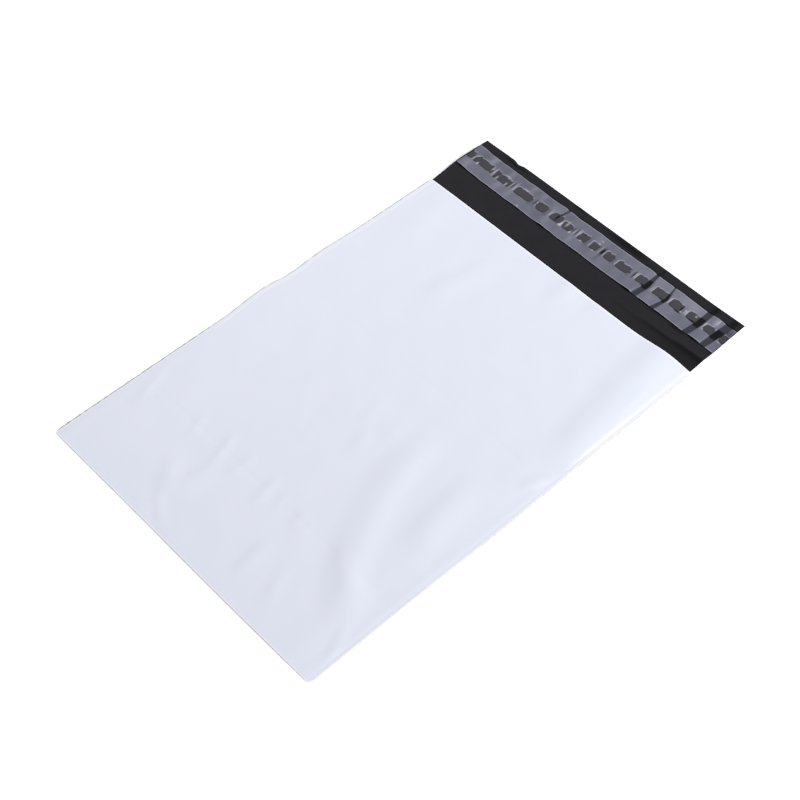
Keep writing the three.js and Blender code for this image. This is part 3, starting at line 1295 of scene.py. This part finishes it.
@dataclass
class ReleaseLiner(FlapStrip):
    """The release film over the adhesive, with the marks where it was pressed down and painted highlight and
    shade.
    """

    rim_width: float = 0.55

    finish: ReleaseFilm = field(default_factory=ReleaseFilm)
    pads: tuple[PressedPad, ...] = (
        PressedPad(-99, -91.4, -2.2, 4.2, 1.6), PressedPad(-90.4, -87, -2.2, 1.6),
        PressedPad(-89, -77.6, -2, 3.7), PressedPad(-78.5, -76.1, -1.6, 1.6, 0.5),
        PressedPad(-74.2, -71.6, -2.8, 3.6, 0.6), PressedPad(-72.5, -63.8, -2.4, 3.3),
        PressedPad(-64.4, -61.9, -2.7, 2.6, 0.7), PressedPad(-57.8, -46.2, -2.6, 3.2, 1.4),
        PressedPad(-48.5, -45, -2.2, 2.4), PressedPad(-41.2, -33.9, -2.6, 3.9, 2.4),
        PressedPad(-30.6, -22.7, -2.4, 3.8, 1.8), PressedPad(-21.2, -14.9, -2.4, 3.2, 1.6),
        PressedPad(-9.4, -3.2, -2.3, 3.8, 0.8), PressedPad(-0.3, 4.8, -2.4, 3.5, 1),
        PressedPad(9.9, 16.2, -2.2, 3.6, 1.5), PressedPad(18.7, 27.5, -2.2, 3.4, 1.2),
        PressedPad(33, 41, -1.9, 3.8, 1), PressedPad(45.3, 54.5, -1.9, 4, 1),
        PressedPad(56.8, 64.8, -1.9, 4.1, 1.6), PressedPad(68.6, 76.5, -1.7, 4.2, 1.6),
        PressedPad(80.3, 88, -2, 3.2, 1.6), PressedPad(91.3, 99, -1.9, 3.4, 1),
    )
    faint_pads: tuple[PressedPad, ...] = (
        PressedPad(-35, -32.2, -3.6, 3), PressedPad(-47, -44.2, -3.8, 1.5),
        PressedPad(-4, -1.6, -3.6, 2.5), PressedPad(4, 6, -2.4, 3), PressedPad(15, 17.2, -2.8, 2),
        PressedPad(26.5, 28.6, -3.2, 3.4), PressedPad(64.5, 66, -1.5, 3.2), PressedPad(80, 82, -1, 1.5),
    )
    bars: tuple[Spot, ...] = (
        Spot(-60.2, 0.7, 0.5, 2.7, 0.75), Spot(-42.9, 0.6, 0.45, 3, 0.75),
        Spot(-40.9, 2.4, 0.6, 0.7, 0.8), Spot(-41.4, 0.2, 0.7, 0.6, 0.7), Spot(-26.4, 1.6, 0.65, 3),
        Spot(-13.6, 0.8, 0.4, 2.9, 0.8), Spot(-11.1, 1, 0.4, 3.1, 0.85), Spot(-6.8, 3.1, 0.6, 0.7, 0.8),
        Spot(8.2, 0.6, 1, 3.3), Spot(31, 0.8, 0.5, 3.1, 0.9), Spot(39.2, -1.5, 1.6, 0.8),
        Spot(28, 0.2, 0.6, 0.8, 0.8), Spot(64.3, 0.9, 0.45, 2.6), Spot(63.6, -2.1, 2.4, 0.5),
        Spot(52.6, -1.6, 1.6, 0.6), Spot(73.5, -1.2, 2.6, 0.55), Spot(94, -1.9, 1.6, 0.55),
    )
    # Light bars and flecks: painted highlight.
    pale_bars: tuple[Spot, ...] = (
        Spot(-86.5, -1.7, 0.6, 0.9, 1, 1), Spot(-77.2, 2.3, 0.35, 1.7, 0.7, 1),
        Spot(-75.2, 1.4, 0.35, 3, 0.5, 1), Spot(-71.3, -1.3, 0.45, 1.4, 0.8, 1),
        Spot(-66.5, 4, 1.8, 0.35, 0.8, 1), Spot(-64.2, -1.4, 0.4, 1.4, 0.85, 1),
        Spot(-61.2, 0.8, 0.3, 3, 0.45, 1), Spot(-58.8, 1.2, 0.35, 3.4, 0.5, 1),
        Spot(-52.6, 3.9, 1.9, 0.35, 0.8, 1), Spot(-47.9, -8.8, 0.5, 0.4, 0.8, 1),
        Spot(-31.5, 1.5, 0.35, 3, 0.35, 1), Spot(-22, -1.9, 0.9, 0.9, 1.2, 1),
        Spot(-21.9, -0.4, 0.45, 1, 0.9, 1), Spot(-18.9, 1.8, 0.55, 2, 0.7, 1),
        Spot(-14.3, -2, 0.5, 0.8, 1, 1), Spot(-12.4, -0.2, 0.4, 2, 0.5, 1),
        Spot(-10.2, 2.2, 0.4, 2.2, 0.7, 1), Spot(-5.9, -2.2, 0.8, 0.4, 0.9, 1),
        Spot(3.4, 6.2, 0.7, 0.35, 0.8, 1), Spot(3.3, 3.6, 0.6, 0.5, 0.7, 1),
        Spot(3.4, -2.7, 0.6, 0.4, 0.9, 1), Spot(6.5, 0.8, 0.3, 3.2, 0.5, 1),
        Spot(32, 1.6, 0.3, 2.2, 0.7, 1), Spot(67, 1.7, 0.5, 0.6, 1, 1),
        Spot(67.2, 0.2, 0.45, 1.2, 0.5, 1), Spot(65.3, -0.7, 0.7, 0.4, 0.9, 1),
        Spot(68, 1.2, 0.3, 3, 0.35, 1), Spot(56, 0.5, 0.3, 3.4, 0.4, 1),
        Spot(44.2, 0.5, 0.3, 2.8, 0.4, 1), Spot(73.3, 2.8, 0.45, 0.55, 0.95, 1),
        Spot(80.1, 2.8, 0.5, 1.2, 0.6, 1), Spot(80.8, -1.4, 0.5, 0.4, 0.8, 1),
        Spot(84.5, 7.6, 0.5, 2.6, 0.45, 1), Spot(92.6, -2.4, 1.6, 0.4, 0.5, 1),
    )
    # Lighter bands: painted sheen off the liner's ripples.
    streaks: tuple[Spot, ...] = (
        Spot(-81, 7, 1.8, 5, 0.75, 1), Spot(-90, -5.5, 2.2, 5, 0.4, 1), Spot(-67, -5.5, 2.2, 5, 0.4, 1),
        Spot(-66, 7, 1.8, 4.5, 0.5, 1), Spot(-58.5, -5, 2.2, 5, 0.35, 1),
        Spot(-50, 7, 1.6, 4.5, 0.4, 1), Spot(-42, 7.5, 1.8, 4.5, 0.4, 1), Spot(-30, 6, 2.6, 5, 0.4, 1),
        Spot(-30, -5.5, 2.2, 4.5, 0.35, 1), Spot(-11, -5.5, 1.8, 4.5, 0.45, 1),
        Spot(2, 6.5, 2.5, 4, 0.25, 1), Spot(36, 7, 3, 4.5, 0.35, 1), Spot(47, -6, 3, 4, 0.25, 1),
        Spot(59, 7, 3, 4, 0.25, 1), Spot(44, 7, 18, 6, 0.3, 1), Spot(67, 7, 12, 6, 0.55, 1),
        Spot(83.8, 7.5, 1.6, 3.5, 0.9, 1.5),
    )
    shadows: tuple[Spot, ...] = (
        Spot(-86, 6.5, 2.4, 5, 0.3, 1), Spot(-70, 7, 34, 5, 0.15, 1), Spot(-78, -6, 2.4, 4, 0.15, 1),
        Spot(-69.5, 6.5, 1.6, 4, 0.18, 1), Spot(-35, -6, 2.4, 4, 0.16, 1), Spot(-20, 7, 3, 4, 0.15, 1),
        Spot(8.2, -5, 1, 2.5, 0.3, 1), Spot(15.5, 6.5, 2.4, 4, 0.12, 1),
        Spot(28, -5, 2.4, 4.5, 0.18, 1), Spot(68, -5.5, 1.6, 4, 0.12, 1), Spot(93.5, 5, 1.8, 7, 0.6, 1),
    )
    buckles: tuple[Buckle, ...] = (
        Buckle(39.8, 41, 40.2, 3.8, 3.2, 1.9), Buckle(52.8, 54.6, 52.5, 2.9, 1.9, 0.7),
        Buckle(76, 77.2, 77.2, 3.9, 3.8, 3.7), Buckle(87.9, 88.9, 89.8, 3.7, 4.4, 4.8),
        Buckle(-26.4, -26.3, -25, 1, 1.2, 1.3, begins=3.5), Buckle(97, 94, 90.5, 1, 1, 1.2, begins=4.8),
    )
    blisters: tuple[EdgeLift, ...] = (
        EdgeLift(-93, 9, 0.5), EdgeLift(-28.5, 5, 0.55), EdgeLift(36, 8, 0.6), EdgeLift(50, 6, 0.2),
        EdgeLift(59, 10, 0.3), EdgeLift(83, 7, 0.4),
    )
    depth: float = 0.2
    buckle_side: float = 2.4

    def outside(self, pads: tuple[PressedPad, ...], across: Grid, row: Grid) -> Grid:
        """Works out how far each place is outside the nearest block.

        Args:
            pads: The blocks.
            across: Places across the bag.
            row: Distances from the liner's middle line.

        Returns:
            The distance in mm, negative inside a block.
        """
        far_side = ease(row, 2.0)
        wobble = (0.12 + 0.22 * far_side) * ripple(across, 0.3 * row, 51, 2.0, 4.5)
        return np.min([pad.distance(across, row) for pad in pads], axis=0) + wobble

    def rims(self, outside: Grid, across: Grid, row: Grid) -> tuple[Grid, Grid]:
        """Finds the rims of the pads: painted highlight on the far and left ones, painted shade on the near
        ones.

        Args:
            outside: How far each place is outside a pad.
            across: Places across the bag.
            row: Distances from the liner's middle line.

        Returns:
            The amounts of painted highlight and of painted shade, from 0 to 1.
        """
        along_slope, across_slope = np.gradient(outside, row[:, 0], across[0])
        stretched = np.clip(0.9 * along_slope - 0.8 * across_slope + 0.15, 0, 1)
        gathered = np.clip(0.25 * across_slope - 0.9 * along_slope, 0, 1)
        return (
            stretched * bell(outside - self.rim_width / 2, self.rim_width * 0.8),
            gathered * bell(outside + self.rim_width / 2, self.rim_width),
        )

    def standing(self, across: Grid, row: Grid, half: float) -> Grid:
        """Works out how far the liner stands off the flap where nothing holds it down.

        Args:
            across: Places across the bag.
            row: Distances from the liner's middle line.
            half: Half the liner's width.

        Returns:
            The height at each place, in mm.
        """
        waves = 0.05 * ripple(across, 0.15 * row, 52, 7, 16) + 0.012 * ripple(across, row, 53, 3, 7)
        blisters = sum(wave.height * bell(across - wave.place, wave.half_length) for wave in self.blisters)
        towards_edge = (np.abs(row) / half) ** 2
        return self.depth + waves + blisters * (0.35 + 0.65 * towards_edge)

    def build(self) -> bpy.types.Object:
        """Makes the liner.

        Returns:
            The piece.
        """
        across, along = self.places()
        half = (self.far - self.near) / 2
        row = along - (self.near + self.far) / 2
        outside = self.outside(self.pads, across, row)
        faint = 1.0 - ease(self.outside(self.faint_pads, across, row) + 0.3, 0.9)
        pressed = np.maximum(1.0 - ease(outside + 0.2, 0.4), 0.3 * faint)
        # Painted highlight on the pads' far and left rims, painted shade on their near rims.
        stretched, gathered = self.rims(outside, across, row)
        # The creases' darker colour is partly painted shade.
        buckled = strongest(self.buckles, across, row, half)
        held_down = strongest(self.buckles, across, row, half, self.buckle_side)
        held = 1.0 - (1.0 - pressed) * (1.0 - 0.95 * held_down)
        # Lighter bands of painted sheen where the liner stands free.
        streaks = strongest(self.streaks, across, row)
        over_glue = ease(row + 3.4, 0.8) * ease(5.0 - row, 0.8)
        # Dark bars, and near-black in the creases over the glue that is partly painted shade.
        doubled = np.maximum(strongest(self.bars, across, row), 0.9 * over_glue * buckled)
        # Painted highlight along the liner's cut edges.
        slit = 1.0 - ease(half - np.abs(row) - 0.2, 0.3)
        lift = np.maximum(self.standing(across, row, half) * (1.0 - held), 0.0)
        low = self.lie.underside(across, along) + self.base + lift
        wander = 0.12 * ripple(across, np.zeros_like(across), 54, 9, 24) * np.abs(row) / half
        skin = Skin(marks={name: [] for name, _ in self.finish.marks})
        self.closed(
            skin,
            (across, along + wander),
            low,
            low + self.thickness,
            pressed=pressed,
            # Creases that are partly painted shade, and spots of painted shadow.
            buckled=np.maximum(0.92 * buckled, strongest(self.shadows, across, row)),
            doubled=doubled,
            slit=slit * (1.0 - 0.85 * buckled),
            rim=gathered,
            strained=np.maximum(0.6 * streaks * (1 - held), stretched),
            # Painted highlight in light bars and flecks.
            fleck=0.6 * strongest(self.pale_bars, across, row),
        )
        return skin.build("release_liner_film", self.lie.length / 2, [self.finish.make()])


# ----------------------------------------------------------------------
# Studio


def facing(azimuth_deg: float, elevation_deg: float) -> Vector:
    """Turns two angles into the direction from the bag.

    Args:
        azimuth_deg: The angle round the bag, from its fold towards its right side.
        elevation_deg: The angle over the table.

    Returns:
        The direction, with a length of 1.
    """
    azimuth = math.radians(azimuth_deg)
    elevation = math.radians(elevation_deg)
    level = math.cos(elevation)
    return Vector((math.sin(azimuth) * level, -math.cos(azimuth) * level, math.sin(elevation)))


@dataclass(frozen=True)
class SoftBox:
    """A soft studio light that faces the bag."""

    name: str
    azimuth_deg: float
    elevation_deg: float
    distance: float
    width: float
    height: float
    power: float
    tint: str = "#fffeff"

    def build(self) -> bpy.types.Object:
        """Makes the light.

        Returns:
            The light's object.
        """
        lamp = bpy.data.lights.new(self.name, "AREA")
        lamp.shape = "RECTANGLE"
        lamp.size = self.width
        lamp.size_y = self.height
        lamp.energy = self.power
        lamp.color = linear(self.tint)[:3]
        light = bpy.data.objects.new(self.name, lamp)
        away = facing(self.azimuth_deg, self.elevation_deg)
        light.location = away * self.distance
        light.rotation_euler = away.to_track_quat("Z", "Y").to_euler()
        bpy.context.scene.collection.objects.link(light)
        return light


@dataclass(frozen=True)
class Studio:
    """The light table, the soft lights and the camera."""

    azimuth_deg: float = 45.40
    elevation_deg: float = 52.65
    roll_deg: float = 1.47
    distance: float = 0.8366
    lens_mm: float = 74.06
    aim: tuple[float, float, float] = (0.0067, -0.0138, 0.0)
    table_half: float = 2.5
    table_drop_mm: float = 0.1
    walls: float = 0.45
    ceiling: float = 0.27
    paint: str = "#fdfdff"
    lights: tuple[SoftBox, ...] = (
        SoftBox("window_key", 110.0, 24.0, 6.0, 2.2, 1.6, 415.0),
        SoftBox("back_fill", 140.0, 30.0, 0.735, 0.4, 0.3, 1.5),
        SoftBox("side_fill", 258.0, 14.0, 0.55, 0.4, 0.15, 1.1),
    )

    def add_camera(self) -> bpy.types.Object:
        """Makes the camera and makes it the scene's own.

        Returns:
            The camera's object.
        """
        azimuth = math.radians(self.azimuth_deg)
        roll = math.radians(self.roll_deg)
        back = facing(self.azimuth_deg, self.elevation_deg)
        right = Vector((math.cos(azimuth), math.sin(azimuth), 0.0))
        up = back.cross(right)
        rolled_right = math.cos(roll) * right + math.sin(roll) * up
        rolled_up = math.cos(roll) * up - math.sin(roll) * right
        turn = Matrix((rolled_right, rolled_up, back)).transposed()
        data = bpy.data.cameras.new("camera")
        data.lens = self.lens_mm
        data.sensor_width = 36.0
        data.clip_start = 0.01
        camera = bpy.data.objects.new("camera", data)
        camera.matrix_world = Matrix.Translation(Vector(self.aim) + back * self.distance) @ turn.to_4x4()
        bpy.context.scene.collection.objects.link(camera)
        bpy.context.scene.camera = camera
        return camera

    def add_table(self) -> bpy.types.Object:
        """Makes the light table's top.

        Returns:
            The table's object.
        """
        shape = bmesh.new()
        bmesh.ops.create_grid(shape, x_segments=8, y_segments=8, size=self.table_half)
        mesh = bpy.data.meshes.new("light_table")
        shape.to_mesh(mesh)
        shape.free()
        mesh.materials.append(LitOpalBoard().make())
        table = bpy.data.objects.new("light_table", mesh)
        table.location.z = -self.table_drop_mm * MM
        bpy.context.scene.collection.objects.link(table)
        return table

    def add_sky(self) -> None:
        """Makes the even white light of the studio's walls and ceiling."""
        world = bpy.data.worlds.new("studio")
        world.use_nodes = True
        world.node_tree.nodes.clear()
        tree = world.node_tree
        heading = add_node(tree, "ShaderNodeTexCoord").outputs["Generated"]
        height = add_node(tree, "ShaderNodeSeparateXYZ", links={"Vector": heading}).outputs["Z"]
        range_settings = {"To Min": self.walls, "To Max": self.ceiling}
        level = add_node(tree, "ShaderNodeMapRange", range_settings, {"Value": height}).outputs["Result"]
        walls = add_node(tree, "ShaderNodeBackground", {"Color": linear(self.paint)}, {"Strength": level})
        add_node(tree, "ShaderNodeOutputWorld", links={"Surface": walls.outputs["Background"]})
        bpy.context.scene.world = world
        bpy.context.scene.view_settings.view_transform = "Standard"

    def build(self) -> None:
        """Makes everything round the bag."""
        self.add_camera()
        self.add_table()
        self.add_sky()
        for light in self.lights:
            light.build()


# ----------------------------------------------------------------------
# The whole bag


def main() -> None:
    """Builds the studio and the bag, and joins each piece to the frame."""
    Studio().build()
    film_low, film_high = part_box("bag_film")
    glue_low, glue_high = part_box("adhesive_strip")
    liner_low, liner_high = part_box("release_liner")
    length = (film_high.y - film_low.y) / MM
    lie = LyingBag(half_width=film_high.x / MM, length=length, pocket=POCKET)
    from_fold = length / 2

    film_maker = FoldedFilm(lie)
    film = film_maker.build()
    beads = [
        # The left fin is greyer than the right one: painted shade on its side turned from the light.
        SideBead(lie, film_maker, side=-1, width=0.95, burn=(0.93, 0.7)).build(),
        SideBead(lie, film_maker, side=1, width=1.15, burn=(0.0, 0.5), burnt_from=0.3).build(),
    ]
    glue = AdhesiveStrip(
        lie,
        near=glue_low.y / MM + from_fold,
        far=glue_high.y / MM + from_fold,
        base=lie.film + UNDER_ADHESIVE,
        thickness=ADHESIVE,
    ).build()
    liner = ReleaseLiner(
        lie,
        near=liner_low.y / MM + from_fold,
        far=liner_high.y / MM + from_fold,
        base=lie.film + UNDER_ADHESIVE + ADHESIVE + UNDER_LINER,
        thickness=LINER,
    ).build()

    homes = (
        (film, "bag_film", "film"),
        (beads[0], "bag_film", "film"),
        (beads[1], "bag_film", "film"),
        (glue, "adhesive_strip", "adhesive"),
        (liner, "release_liner", "liner"),
    )
    for piece, node, slot in homes:
        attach(piece, BODY)
        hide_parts(node)
        LOG.info("%s stands for %s with %d faces", piece.name, node, len(piece.data.polygons))


if __name__ == "__main__":
    logging.basicConfig(level=logging.INFO, format="%(name)s: %(message)s")
    main()
